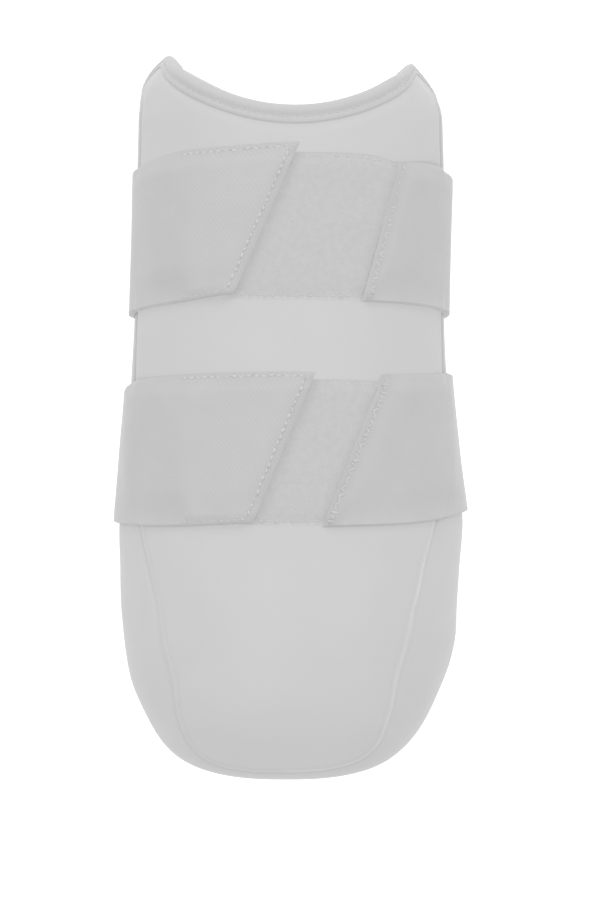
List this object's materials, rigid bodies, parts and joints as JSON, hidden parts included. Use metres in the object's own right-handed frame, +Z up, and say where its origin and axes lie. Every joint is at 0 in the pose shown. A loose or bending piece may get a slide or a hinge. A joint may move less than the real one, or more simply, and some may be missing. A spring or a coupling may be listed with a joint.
{
  "type": "elbow guard",
  "caption": "Padded moulded elbow guard with a closed cup, a scooped open end, a bound edge and wide elastic straps that wrap round the arm and close with hook and loop tabs.",
  "frame": {"origin": "middle of the footprint on the surface that the straps' backs lie on", "axes": "+Y along the arm from the closed cup to the scooped open end, +Z up out of the cup's front face, +X to the right in the front view"},
  "size_m": [0.1224, 0.2503, 0.0907],
  "materials": {
    "shell_fabric": "smooth matte coated fabric over moulded foam",
    "binding_tape": "soft knitted edge tape",
    "elastic_band": "matte woven elastic webbing",
    "loop_pile": "fuzzy loop pile",
    "hook_tape": "stiff nylon hook tape"
  },
  "bodies": {
    "root": {"shell": "shell_fabric", "edge_binding": "binding_tape", "upper_band": "elastic_band", "upper_loop_panel": "loop_pile", "upper_hook_patch": "hook_tape", "lower_band": "elastic_band", "lower_loop_panel": "loop_pile", "lower_hook_patch": "hook_tape"}
  },
  "joints": []
}
